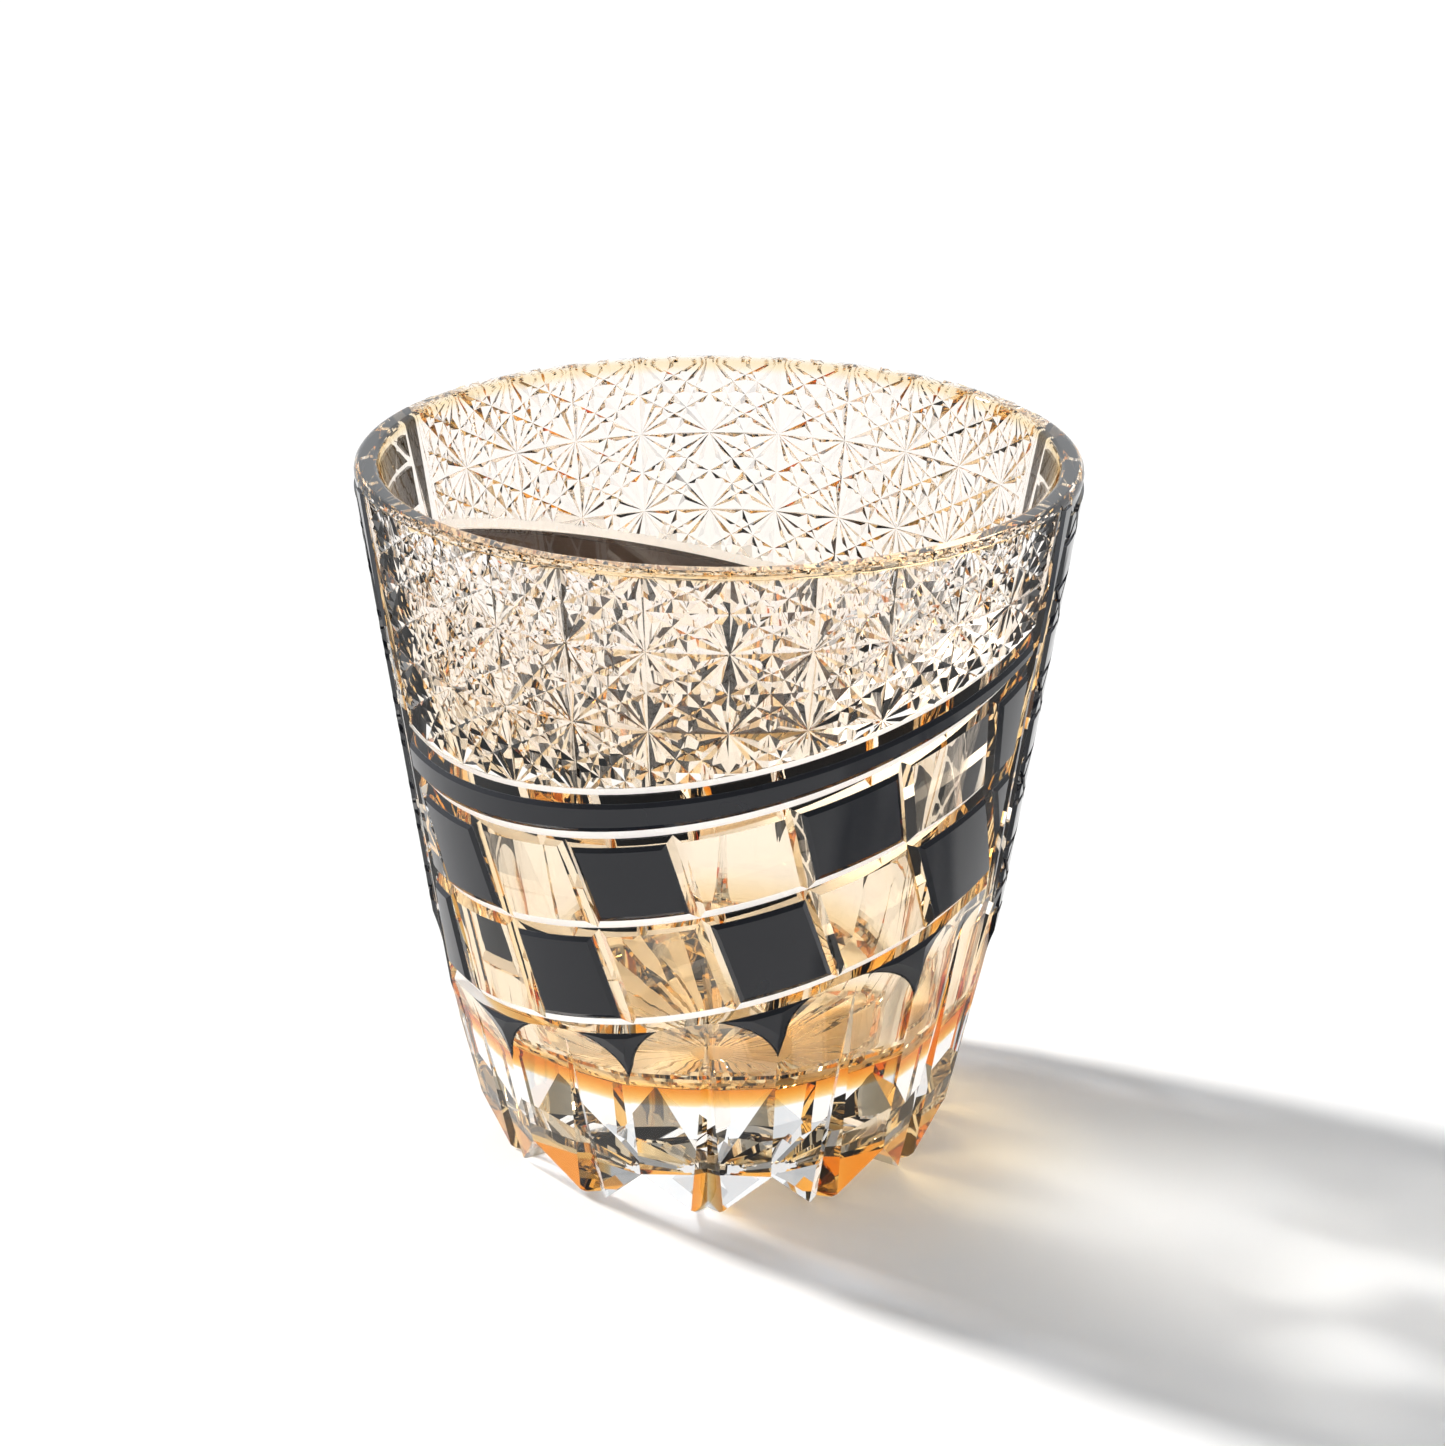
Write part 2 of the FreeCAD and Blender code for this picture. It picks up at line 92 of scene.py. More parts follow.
# petals round the foot: their number, first azimuth and radius at the foot, the arched
# facet, the heights of half of them (the other half repeats them), the V down each, and
# the slab that cuts the facet
PETAL_COUNT = 12
PETAL_STEP = 360.0 / PETAL_COUNT
PETAL_START, PETAL_FOOT = -1.8, 28.9
PETAL_ARCH, PETAL_SINK, PETAL_WHEEL = 7.2, 1.22, 25.0
PETAL_TOPS = (30.6, 35.3, 40.0, 33.0, 25.0, 27.0)
PETAL_V_HALF, PETAL_V_DEPTH, PETAL_V_START, PETAL_V_DROP = 2.1, 1.7, 0.03, 1.0
PANEL_HALF, PANEL_LOW, PANEL_OVER, PANEL_OUT, PANEL_FOOT = 10.0, -1.5, 4.0, 8.0, 48.0

# V cuts under the base
MITRE_RISE, MITRE_IN, MITRE_OUT, MITRE_ANGLE = 5.6, 4.0, 34.0, 47.5
MITRE_LIFT = 0.02
RAY_RISE, RAY_IN, RAY_OUT, RAY_OFFSET = 1.15, 4.5, 25.0, 5.0
RAY_START_SHARE, RAY_END = 0.3, -0.1

# star cutting: grid of nodes in the wall, and (across, up, half width, depth) of each
# of the eight directions in which V-grooves run through every node
STAR_COLUMN = 360.0 / 28
STAR_WIDTH, STAR_ROW = 9.9, 10.3
STAR_PHASE, STAR_TOP = 1.8, 90.4
STAR_COLUMNS, STAR_ROWS, STAR_CLEAR = range(-7, 7), range(5), 0.6
STAR_REACH, STAR_SIDE_MARGIN, STAR_RIBBON_MARGIN = 14, 1.2, 1.1
STAR_LEFT, STAR_RIGHT, STAR_LOW, STAR_HIGH = -78.0, 72.0, 52.0, HEIGHT + 1.5
STAR_DIRECTIONS = (
    (1, 0, 0.95, 0.58), (0, 1, 0.95, 0.58), (1, 1, 0.9, 0.55), (1, -1, 0.9, 0.55),
    (2, 1, 0.78, 0.48), (2, -1, 0.78, 0.48), (1, 2, 0.78, 0.48), (1, -2, 0.78, 0.48),
)

# side lattices, and the slab that parts them from the cusps under them
SILL_LOW, SILL_HIGH, CUSP_TOP = 33.1, 34.0, 33.5
LATTICE_ROW, LATTICE_PITCH, LATTICE_GAP = 5.8, 6.3, 0.9
LATTICE_TOP, LATTICE_FLOOR, LATTICE_DIAGONALS = 84.0, 34.0, range(-8, 3)

# how far a cutter reaches past the wall and below the base
CLEAR, BELOW = 1.2, 1.0

# island sorting: width in degrees and mid-height that tell a ribbon from the star zone
RIBBON_SPAN, RIBBON_CEILING, STAR_ZONE_Z = 100.0, 68.0, 85.0

# crease angles in degrees, and the crystal's refractive index
CRYSTAL_CREASE, LINING_CREASE, OVERLAY_CREASE = 7.0, 40.0, 12.0
CRYSTAL_IOR = 1.53


def wall(z):
    return BASE_R + TAPER * z


def skin(z):
    return wall(z) + OVERLAY


def bowl_wall(z):
    """Radius of the drinking side."""
    return DRINK_R + BOWL_RISE * (z - DRINK_Z)


def at(radius, azimuth, z):
    angle = math.radians(azimuth)
    return Vector((radius * math.sin(angle), -radius * math.cos(angle), z))


def line_z(name, azimuth):
    height, rise, lean = LINES[name]
    angle = math.radians(azimuth)
    slope = rise * math.sin(angle) - lean * math.cos(angle)
    return (height + skin(0) * slope) / (1 - TAPER * slope)


def steps(start, stop, count):
    return [start + (stop - start) * i / count for i in range(count + 1)]


def arc(centre_r, centre_z, radius, start, stop, count):
    """Points of a round stretch of a profile, between two angles in degrees."""
    points = []
    for degrees in steps(start, stop, count):
        angle = math.radians(degrees)
        points.append((centre_r + radius * math.cos(angle), centre_z + radius * math.sin(angle)))
    return points


def azimuth_of(p):
    return math.degrees(math.atan2(p[0], -p[1]))


# ----------------------------------------------------------- mesh helpers
def new_object(name, bm):
    mesh = bpy.data.meshes.new(name)
    bmesh.ops.recalc_face_normals(bm, faces=bm.faces)
    bm.to_mesh(mesh)
    bm.free()
    obj = bpy.data.objects.new(name, mesh)
    bpy.context.scene.collection.objects.link(obj)
    return obj


def add_loft(bm, sections):
    """Closed body through a row of equal polygons."""
    rings = [[bm.verts.new(p * MM) for p in ring] for ring in sections]
    count = len(rings[0])
    for low, high in zip(rings, rings[1:]):
        for i in range(count):
            j = (i + 1) % count
            bm.faces.new((low[i], low[j], high[j], high[i]))
    bm.faces.new(rings[0])
    bm.faces.new(list(reversed(rings[-1])))


def add_lathe(bm, profile, segments):
    """Solid of revolution from a closed (radius, z) profile; radius 0 is a pole."""
    rings = []
    for radius, z in profile:
        if radius < 1e-6:
            rings.append([bm.verts.new(Vector((0, 0, z)) * MM)])
        else:
            rings.append([bm.verts.new(at(radius, 360.0 * i / segments, z) * MM)
                          for i in range(segments)])
    pairs = list(zip(rings, rings[1:]))
    if profile[0][0] > 1e-6:
        pairs.append((rings[-1], rings[0]))
    for one, two in pairs:
        for i in range(segments):
            j = (i + 1) % segments
            if len(one) == 1:
                bm.faces.new((one[0], two[i], two[j]))
            elif len(two) == 1:
                bm.faces.new((one[i], one[j], two[0]))
            else:
                bm.faces.new((one[i], one[j], two[j], two[i]))


def loft_object(name, *bodies):
    """Object with one loft for each row of sections."""
    bm = bmesh.new()
    for sections in bodies:
        add_loft(bm, sections)
    return new_object(name, bm)


def lathe_object(name, profile):
    bm = bmesh.new()
    add_lathe(bm, profile, LATHE_STEPS)
    return new_object(name, bm)


def boolean(obj, cutters, operation="DIFFERENCE"):
    """Apply several cutters at once and keep the result in the object's mesh."""
    for cutter in cutters:
        modifier = obj.modifiers.new("cut", "BOOLEAN")
        modifier.operation = operation
        modifier.solver = "MANIFOLD"
        modifier.object = cutter
    bpy.context.view_layer.update()
    graph = bpy.context.evaluated_depsgraph_get()
    result = bpy.data.meshes.new_from_object(obj.evaluated_get(graph))
    obj.modifiers.clear()
    old = obj.data
    obj.data = result
    bpy.data.meshes.remove(old)
    return obj


def turned(obj, name):
    """Copy of a cutter, turned half a turn about the axis."""
    copy = bpy.data.objects.new(name, obj.data.copy())
    copy.data.transform(Matrix.Rotation(math.pi, 4, "Z"))
    bpy.context.scene.collection.objects.link(copy)
    return copy


def both(obj):
    return [obj, turned(obj, obj.name + "_turned")]


def drop(objects):
    for obj in objects:
        mesh = obj.data
        bpy.data.objects.remove(obj)
        bpy.data.meshes.remove(mesh)


# -------------------------------------------------------------- cutters
def v_across(azimuth, z, half, depth):
    """V section in the radial plane, for a groove that runs round the wall."""
    outside = skin(z) + CLEAR
    spread = half * (depth + CLEAR) / depth
    return (at(outside, azimuth, z + spread), at(outside, azimuth, z - spread),
            at(skin(z) - depth, azimuth, z))


def v_upright(azimuth, z, half, depth):
    """V section in a level plane, for a groove that runs up the wall."""
    outside = skin(z) + CLEAR
    swing = math.degrees(half * (depth + CLEAR) / depth / outside)
    return (at(outside, azimuth - swing, z), at(outside, azimuth + swing, z),
            at(skin(z) - depth, azimuth, z))


def line_cutter(name, widen):
    return loft_object(name + "_line", [
        v_across(a, line_z(name, a), LINE_HALF + widen, LINE_DEPTH + widen)
        for a in steps(SIDE_LEFT, SIDE_RIGHT, 60)])


def slant_cutter(index, widen):
    """Slanting groove through both tile rows, bent where it crosses the middle line."""
    stops = []
    for line, (start, step) in SLANTS.items():
        azimuth = start + index * step
        stops.append((azimuth, line_z(line, azimuth)))
    path = [(stops[0], stops[1], share) for share in steps(0, 1, 5)]
    path += [(stops[1], stops[2], share) for share in steps(0, 1, 5)[1:]]
    sections = []
    for first, second, share in path:
        azimuth = first[0] + (second[0] - first[0]) * share
        z = first[1] + (second[1] - first[1]) * share
        sections.append(v_upright(azimuth, z, SLANT_HALF + widen, SLANT_DEPTH + widen))
    return loft_object("slant_%d" % index, sections)


def upright_cutter(name, azimuth, widen):
    return loft_object(name, [
        v_upright(azimuth, z, width * UPRIGHT_HALF + widen, sink * UPRIGHT_DEPTH + widen)
        for z, width, sink in UPRIGHT_STATIONS])


def petal_azimuth(index):
    return PETAL_START + PETAL_STEP * index


def petal_top(index):
    return PETAL_TOPS[index % len(PETAL_TOPS)]


def petal_profile(index):
    """Knee between the flat and the arch of one petal, and the wheel centre."""
    top = petal_top(index)
    height = top - PETAL_ARCH
    knee = (wall(height) - PETAL_SINK, height)
    run = (wall(top) - knee[0], PETAL_ARCH)
    chord = math.hypot(*run)
    reach = math.sqrt(PETAL_WHEEL ** 2 - (0.5 * chord) ** 2)
    return knee, (0.5 * (knee[0] + wall(top)) + reach * run[1] / chord,
                  0.5 * (height + top) - reach * run[0] / chord)


def petal_face(index, z):
    knee, centre = petal_profile(index)
    if z < knee[1]:
        return PETAL_FOOT + (knee[0] - PETAL_FOOT) * z / knee[1]
    return centre[0] - math.sqrt(PETAL_WHEEL ** 2 - (z - centre[1]) ** 2)


def petal_panel(index):
    """Slab whose inner face is the arched facet cut on one petal."""
    azimuth = petal_azimuth(index)
    knee = petal_profile(index)[0][1]
    top = knee + PETAL_ARCH + PANEL_OVER
    profile = [(petal_face(index, z), z) for z in [PANEL_LOW] + steps(knee, top, 22)]
    profile += [(petal_face(index, top) + PANEL_OUT, top), (PANEL_FOOT, PANEL_LOW)]
    sections = []
    for offset in (-PANEL_HALF, PANEL_HALF):
        side = at(offset, azimuth + 90.0, 0.0)
        sections.append([at(r, azimuth, z) + side for r, z in profile])
    return loft_object("petal_%d" % index, sections)


def petal_groove(index):
    """V down one petal that gets wider and deeper toward the foot."""
    azimuth = petal_azimuth(index)
    start = petal_top(index) - PETAL_V_DROP
    sections = []
    for share in steps(PETAL_V_START, 1.0, 14):
        z = start * (1.0 - share) - BELOW * share
        depth = share * PETAL_V_DEPTH
        spread = share * PETAL_V_HALF * (depth + CLEAR) / depth
        side = at(spread, azimuth + 90.0, 0.0)
        outside = at(petal_face(index, z) + CLEAR, azimuth, z)
        sections.append((outside + side, outside - side,
                         at(petal_face(index, z) - depth, azimuth, z)))
    return loft_object("petal_groove_%d" % index, sections)


def base_cut(name, azimuth, stations):
    """V under the base through (radius, height of the V's ridge) stations."""
    flare = math.tan(math.radians(MITRE_ANGLE))
    sections = []
    for radius, z in stations:
        side = at((z + BELOW) * flare, azimuth + 90.0, 0.0)
        below = at(radius, azimuth, -BELOW)
        sections.append((below + side, below - side, at(radius, azimuth, z)))
    return loft_object(name, sections)


def mitre(index):
    """Radial V between two petals that deepens toward the edge of the base."""
    slope = MITRE_RISE / (PETAL_FOOT - MITRE_IN)
    return base_cut("mitre_%d" % index, petal_azimuth(index + 0.5), [
        (radius, slope * (radius - MITRE_IN) + MITRE_LIFT) for radius in (MITRE_IN, MITRE_OUT)])


def ray(index, offset):
    """Shallow radial V under the base that runs out before the edge."""
    return base_cut("ray_%d" % index, petal_azimuth(index) + offset, (
        (RAY_IN, RAY_START_SHARE * RAY_RISE), (0.5 * (RAY_IN + RAY_OUT), RAY_RISE),
        (RAY_OUT, RAY_END)))


def star_family(across, up, half, depth):
    """All grooves of one direction as one cutter; they never touch each other."""
    starts = {}
    for i in STAR_COLUMNS:
        for j in STAR_ROWS:
            starts.setdefault(i * up + j * across, (i, j))
    # unit normal of the grooves in the unrolled wall
    scale = math.hypot(across * STAR_WIDTH, up * STAR_ROW)
    nx, nz = -up * STAR_ROW / scale, across * STAR_WIDTH / scale
    spread = half * (depth + STAR_CLEAR) / depth
    grooves = []
    for i, j in starts.values():
        sections = []
        for share in steps(-STAR_REACH, STAR_REACH, 8 * STAR_REACH):
            azimuth = STAR_PHASE + (i + share * across) * STAR_COLUMN
            z = STAR_TOP - (j - share * up) * STAR_ROW
            if not (STAR_LEFT < azimuth < STAR_RIGHT and STAR_LOW < z < STAR_HIGH):
                continue
            surface = wall(z)
            swing = math.degrees(spread * nx / surface)
            sections.append((
                at(surface + STAR_CLEAR, azimuth + swing, z + spread * nz),
                at(surface + STAR_CLEAR, azimuth - swing, z - spread * nz),
                at(surface - depth, azimuth, z)))
        if len(sections) > 1:
            grooves.append(sections)
    return loft_object("star_%d_%d" % (across, up), *grooves)


def star_zone():
    """Region of the broad side above the ribbon where the stars are cut."""
    inner, outer, top = 36.0, 50.0, HEIGHT - LIP
    sections = []
    for a in steps(SIDE_LEFT + STAR_SIDE_MARGIN, SIDE_RIGHT - STAR_SIDE_MARGIN, 60):
        low = line_z("upper", a) + STAR_RIBBON_MARGIN
        sections.append((at(inner, a, low), at(outer, a, low), at(outer, a, top),
                         at(inner, a, top)))
    return loft_object("star_zone", sections)


# --------------------------------------------------------------- geometry
def bowl_profile():
    """Drinking side, from below the lip to the middle of the floor."""
    corner_r = DRINK_R + BOWL_RISE * BOWL_CORNER - BOWL_CORNER * CORNER_INSET
    points = [(bowl_wall(z), z) for z in (78.0, 66.0, 54.0, 42.0, 32.0, 26.0)]
    points += arc(corner_r, DRINK_Z + BOWL_CORNER, BOWL_CORNER, -8.0, -90.0, 10)
    return points + [(r, DRINK_Z) for r in (16.0, 10.0, 5.0, 0.0)]


def glass_body():
    """Crystal with the lining's thickness included, before any cutting."""
    profile = [(0.0, 0.0), (BASE_R, 0.0)]
    profile += [(wall(z), z) for z in (20.0, 40.0, 60.0, 80.0)]
    profile += arc(wall(HEIGHT) - LIP, HEIGHT - LIP, LIP, 0.0, 90.0, 6)
    profile += arc(bowl_wall(HEIGHT) + LIP, HEIGHT - LIP, LIP, 90.0, 172.0, 6)
    return lathe_object("crystal", profile + bowl_profile())


def overlay_blank():
    """Thin black layer, sunk a little into the crystal so that nothing floats."""
    profile = [(wall(z) - OVERLAY_SUNK, z) for z in steps(OVERLAY_FOOT, OVERLAY_TOP, 8)]
    profile += [(skin(z), z) for z in steps(OVERLAY_TOP, OVERLAY_FOOT, 8)]
    return lathe_object("overlay", profile)


def lining_shell():
    """Amber layer just under the drinking side: thinner upward, with a bead under the lip."""
    inner = [(r + LINING_SUNK, z - LINING_SUNK) for r, z in bowl_profile()[:-1]]
    top_r = FLOOR_R + BOWL_RISE * (LINING_TOP - FLOOR_Z)
    inner.insert(0, (top_r - LINING + LINING_SUNK, LINING_TOP))
    inner.append((0.0, inner[-1][1]))
    outer = [(r, FLOOR_Z) for r in (0.0, 12.0, 20.0)]
    corner_r = FLOOR_R + (BOWL_RISE - CORNER_INSET) * BOWL_CORNER
    outer += arc(corner_r, FLOOR_Z + BOWL_CORNER, BOWL_CORNER, -88.0, -8.0, 10)
    for z, share in LINING_SHARES:
        outer.append((FLOOR_R + BOWL_RISE * (z - FLOOR_Z) - LINING * (1.0 - share), z))
    return lathe_object("lining", outer + inner)


def lattice_sill():
    """Level slabs that part the lattices from the cusps under them."""
    inner, outer = 30.0, 45.0
    bodies = []
    for turn in (0.0, 180.0):
        sections = []
        for a in steps(SIDE_RIGHT, SIDE_LEFT + 180.0, 20):
            sections.append((at(inner, a + turn, SILL_LOW), at(outer, a + turn, SILL_LOW),
                             at(outer, a + turn, SILL_HIGH), at(inner, a + turn, SILL_HIGH)))
        bodies.append(sections)
    return loft_object("lattice_sill", *bodies)


def lattice_slabs(middle):
    """Thin slabs that part the islands of one narrow side."""
    reach, length, width = 45.0, 80.0, 40.0
    tilt = math.degrees(math.atan2(LATTICE_ROW, LATTICE_PITCH))
    count = int((LATTICE_TOP - LATTICE_FLOOR) / LATTICE_ROW) + 1
    level = [(LATTICE_TOP - i * LATTICE_ROW, 0.0) for i in range(count)]
    rising, falling = [], []
    for i in LATTICE_DIAGONALS:
        centre = LATTICE_TOP + 2.0 * LATTICE_ROW * i
        rising.append((centre + 2.0 * LATTICE_ROW, tilt))
        falling.append((centre - LATTICE_ROW, -tilt))
    cutters = []
    for number, lines in enumerate((level, rising, falling)):
        bm = bmesh.new()
        for height, angle in lines:
            made = bmesh.ops.create_cube(bm, size=1.0)
            turn = (Matrix.Rotation(math.radians(middle - 90.0), 4, "Z")
                    @ Matrix.Rotation(math.radians(angle), 4, "X"))
            matrix = (Matrix.Translation((0, 0, height * MM)) @ turn
                      @ Matrix.Translation((reach * MM, 0, 0))
                      @ Matrix.Diagonal((length * MM, width * MM, LATTICE_GAP * MM, 1.0)))
            bmesh.ops.transform(bm, matrix=matrix, verts=made["verts"])
        cutters.append(new_object("lattice_%d" % number, bm))
    return cutters


def all_cutters(widen):
    """Line, slanted and upright grooves of both broad sides."""
    cutters = []
    for name in LINES:
        cutters += both(line_cutter(name, widen))
    for index in range(SLANT_COUNT):
        cutters += both(slant_cutter(index, widen))
    for name, azimuth in (("right_outer", SIDE_RIGHT), ("right_inner", SIDE_RIGHT + GAP),
                          ("left_outer", SIDE_LEFT), ("left_inner", SIDE_LEFT - GAP)):
        cutters += both(upright_cutter(name, azimuth, widen))
    return cutters


def build():
    """Crystal, lining and the whole overlay with every groove cut."""
    crystal, lining = glass_body(), lining_shell()
    cutters = all_cutters(0.0)
    panels = [petal_panel(i) for i in range(PETAL_COUNT)]
    grooves = [petal_groove(i) for i in range(PETAL_COUNT)]
    mitres = [mitre(i) for i in range(PETAL_COUNT)]
    mitres += [ray(i, offset) for i in range(PETAL_COUNT) for offset in (-RAY_OFFSET, RAY_OFFSET)]
    for group in (cutters, panels, grooves, mitres):
        boolean(crystal, group)
    zone = star_zone()
    stars = []
    for direction in STAR_DIRECTIONS:
        family = star_family(*direction)
        boolean(family, [zone], "INTERSECT")
        stars += both(family)
    boolean(crystal, stars)
    drop(cutters + stars + [zone])

    overlay = overlay_blank()
    wide = all_cutters(OVERLAY_WIDEN)
    sill = lattice_sill()
    boolean(overlay, wide + [sill])
    boolean(overlay, panels)
    drop(wide + panels + grooves + mitres + [sill])
    return crystal, lining, overlay


# ------------------------------------------------------ overlay by piece
def loose_parts(mesh):
    """Vertex index sets of the separate bodies in a mesh."""
    links = [[] for _ in mesh.vertices]
    for edge in mesh.edges:
        a, b = edge.vertices
        links[a].append(b)
        links[b].append(a)
    seen = [False] * len(links)
    for start in range(len(links)):
        if seen[start]:
            continue
        seen[start] = True
        stack, group = [start], []
        while stack:
            v = stack.pop()
            group.append(v)
            for other in links[v]:
                if not seen[other]:
                    seen[other] = True
                    stack.append(other)
        yield group


def slant_azimuth(index, high, low, share):
    first = SLANTS[high][0] + index * SLANTS[high][1]
    second = SLANTS[low][0] + index * SLANTS[low][1]
    return first + (second - first) * share


def tile_name(row, high, low, azimuth, z, dark):
    """Name of the black tile of one row at a place, or None in a clear tile."""
    share = (line_z(high, azimuth) - z) / (line_z(high, azimuth) - line_z(low, azimuth))
    for number, index in enumerate(dark, start=1):
        left = slant_azimuth(index, high, low, share)
        right = slant_azimuth(index + 1, high, low, share)
        if left < azimuth < right:
            return "%s_tile_%d" % (row, number)
    return None


def island_name(azimuth, z):
    """CAD node that an island of the overlay belongs to, or None if cut away."""
    turn = 0.0
    if not SIDE_LEFT < azimuth < SIDE_LEFT + 180.0:
        turn = 180.0
        azimuth = (azimuth - 180.0 - SIDE_LEFT) % 360.0 + SIDE_LEFT
    if azimuth > SIDE_RIGHT:
        side, flip = ("left", "right")[turn == 0.0], turn > 0.0
        if z < CUSP_TOP:
            front = (azimuth < petal_azimuth(3)) != flip
            return "%s_%s_cusp" % (side, "front" if front else "back")
        if SIDE_RIGHT + GAP < azimuth < SIDE_LEFT - GAP + 180.0:
            return side + "_lattice"
        if z < FADE:
            return None
        front = (azimuth < LATTICE_MIDDLE) != flip
        return "%s_%s_strip" % (side, "front" if front else "back")
    side = "back_" if turn else "front_"
    if z > line_z("upper", azimuth):
        return None
    if z > line_z("lower", azimuth):
        name = "ribbon"
    elif z > line_z("middle", azimuth):
        name = tile_name("upper", "lower", "middle", azimuth, z, UPPER_BLACK)
    elif z > line_z("bottom", azimuth):
        name = tile_name("lower", "middle", "bottom", azimuth, z, LOWER_BLACK)
    else:
        index = math.floor((azimuth - PETAL_START) / PETAL_STEP)
        name = "cusp_%d" % (index + 3) if -2 <= index <= 1 else None
    return side + name if name else None


def split_overlay(overlay):
    """One object per CAD overlay node; islands of clear windows are left out."""
    mesh = overlay.data
    owner = [None] * len(mesh.vertices)
    for group in loose_parts(mesh):
        points = [mesh.vertices[i].co for i in group]
        low = [min(p[i] for p in points) for i in range(3)]
        high = [max(p[i] for p in points) for i in range(3)]
        z = 0.5 * (low[2] + high[2]) / MM
        angles = [azimuth_of(p) for p in points]
        if max(angles) - min(angles) > 180.0:
            angles = [a % 360.0 for a in angles]
        azimuth = 0.5 * (min(angles) + max(angles))
        if max(angles) - min(angles) > RIBBON_SPAN:
            # the ribbon and the star zone span the whole side, so one place stands for each
            ribbon_z = 0.5 * (line_z("upper", 0.0) + line_z("lower", 0.0))
            z = ribbon_z if z < RIBBON_CEILING else STAR_ZONE_Z
            azimuth = 0.0 if abs(azimuth) < 60.0 else 180.0
        name = island_name((azimuth + 180.0) % 360.0 - 180.0, z)
        for i in group:
            owner[i] = name
    pieces = {}
    for name in sorted({n for n in owner if n}):
        keep = [p for p in mesh.polygons if owner[p.vertices[0]] == name]
        used = sorted({i for p in keep for i in p.vertices})
        index = {v: n for n, v in enumerate(used)}
        part = bpy.data.meshes.new(name)
        part.from_pydata([mesh.vertices[i].co for i in used], [],
                         [[index[i] for i in p.vertices] for p in keep])
        obj = bpy.data.objects.new("glass_" + name, part)
        bpy.context.scene.collection.objects.link(obj)
        pieces[name] = obj
    drop([overlay])
    return pieces


def smooth(obj, angle):
    """Smooth shading, with creases where faces meet at more than an angle."""
    bm = bmesh.new()
    bm.from_mesh(obj.data)
    limit = math.radians(angle)
    for face in bm.faces:
        face.smooth = True
    for edge in bm.edges:
        if len(edge.link_faces) == 2:
            edge.smooth = edge.calc_face_angle(0.0) < limit
        else:
            edge.smooth = False
    bm.to_mesh(obj.data)
    bm.free()


# -------------------------------------------------------------- materials
def material(name):
    mat = bpy.data.materials.new(name)
    mat.use_nodes = True
    nodes, links = mat.node_tree.nodes, mat.node_tree.links
    nodes.clear()
    out = nodes.new("ShaderNodeOutputMaterial")
    return mat, nodes, links, out


def noise(nodes, links, scale, detail=3.0):
    coords = nodes.new("ShaderNodeTexCoord")
    tex = nodes.new("ShaderNodeTexNoise")
    tex.inputs["Scale"].default_value = scale
    tex.inputs["Detail"].default_value = detail
    links.new(coords.outputs["Object"], tex.inputs["Vector"])
    return tex.outputs["Fac"]


def ramp(nodes, links, source, low, high, start=0.0, stop=1.0):
    """Value that goes from low to high while the source goes from start to stop."""
    node = nodes.new("ShaderNodeMapRange")
    node.inputs["From Min"].default_value = start
    node.inputs["From Max"].default_value = stop
    node.inputs["To Min"].default_value = low
    node.inputs["To Max"].default_value = high
    links.new(source, node.inputs["Value"])
    return node.outputs["Result"]


def blend(nodes, links, source, first, second):
    """Colour between two tones, by a factor from 0 to 1."""
    node = nodes.new("ShaderNodeMix")
    node.data_type = "RGBA"
    node.inputs["A"].default_value = (*first, 1.0)
    node.inputs["B"].default_value = (*second, 1.0)
    links.new(source, node.inputs["Factor"])
    return node.outputs["Result"]


def matte_material(name, scale, first, second, roughness):
    """Surface without gloss, with a colour that drifts between two tones."""
    mat, nodes, links, out = material(name)
    face = nodes.new("ShaderNodeBsdfPrincipled")
    tone = noise(nodes, links, scale)
    links.new(blend(nodes, links, tone, first, second), face.inputs["Base Color"])
    face.inputs["Roughness"].default_value = roughness
    face.inputs["Specular IOR Level"].default_value = 0.0
    links.new(face.outputs["BSDF"], out.inputs["Surface"])
    return mat


def crystal_material():
    """Clear crystal with a faint wave; shadow rays pass through it with a set tint."""
    mat, nodes, links, out = material("clear_crystal")
    glass = nodes.new("ShaderNodeBsdfPrincipled")
    glass.inputs["Base Color"].default_value = (1.0, 0.995, 0.985, 1.0)
    glass.inputs["Transmission Weight"].default_value = 1.0
    glass.inputs["IOR"].default_value = CRYSTAL_IOR
    fine = noise(nodes, links, 700.0)
    links.new(ramp(nodes, links, fine, 0.0, 0.012), glass.inputs["Roughness"])
    bump = nodes.new("ShaderNodeBump")
    bump.inputs["Strength"].default_value = 0.05
    bump.inputs["Distance"].default_value = 0.0002
    links.new(noise(nodes, links, 110.0, 1.5), bump.inputs["Height"])
    links.new(bump.outputs["Normal"], glass.inputs["Normal"])
    facing = nodes.new("ShaderNodeLayerWeight")
    facing.inputs["Blend"].default_value = 0.55
    tint = blend(nodes, links, facing.outputs["Facing"], (0.83, 0.87, 0.92), (0.18, 0.19, 0.21))
    lamp = nodes.new("ShaderNodeBsdfTransparent")
    links.new(tint, lamp.inputs["Color"])
    path = nodes.new("ShaderNodeLightPath")
    mix = nodes.new("ShaderNodeMixShader")
    links.new(path.outputs["Is Shadow Ray"], mix.inputs["Fac"])
    links.new(glass.outputs["BSDF"], mix.inputs[1])
    links.new(lamp.outputs["BSDF"], mix.inputs[2])
    links.new(mix.outputs["Shader"], out.inputs["Surface"])
    return mat


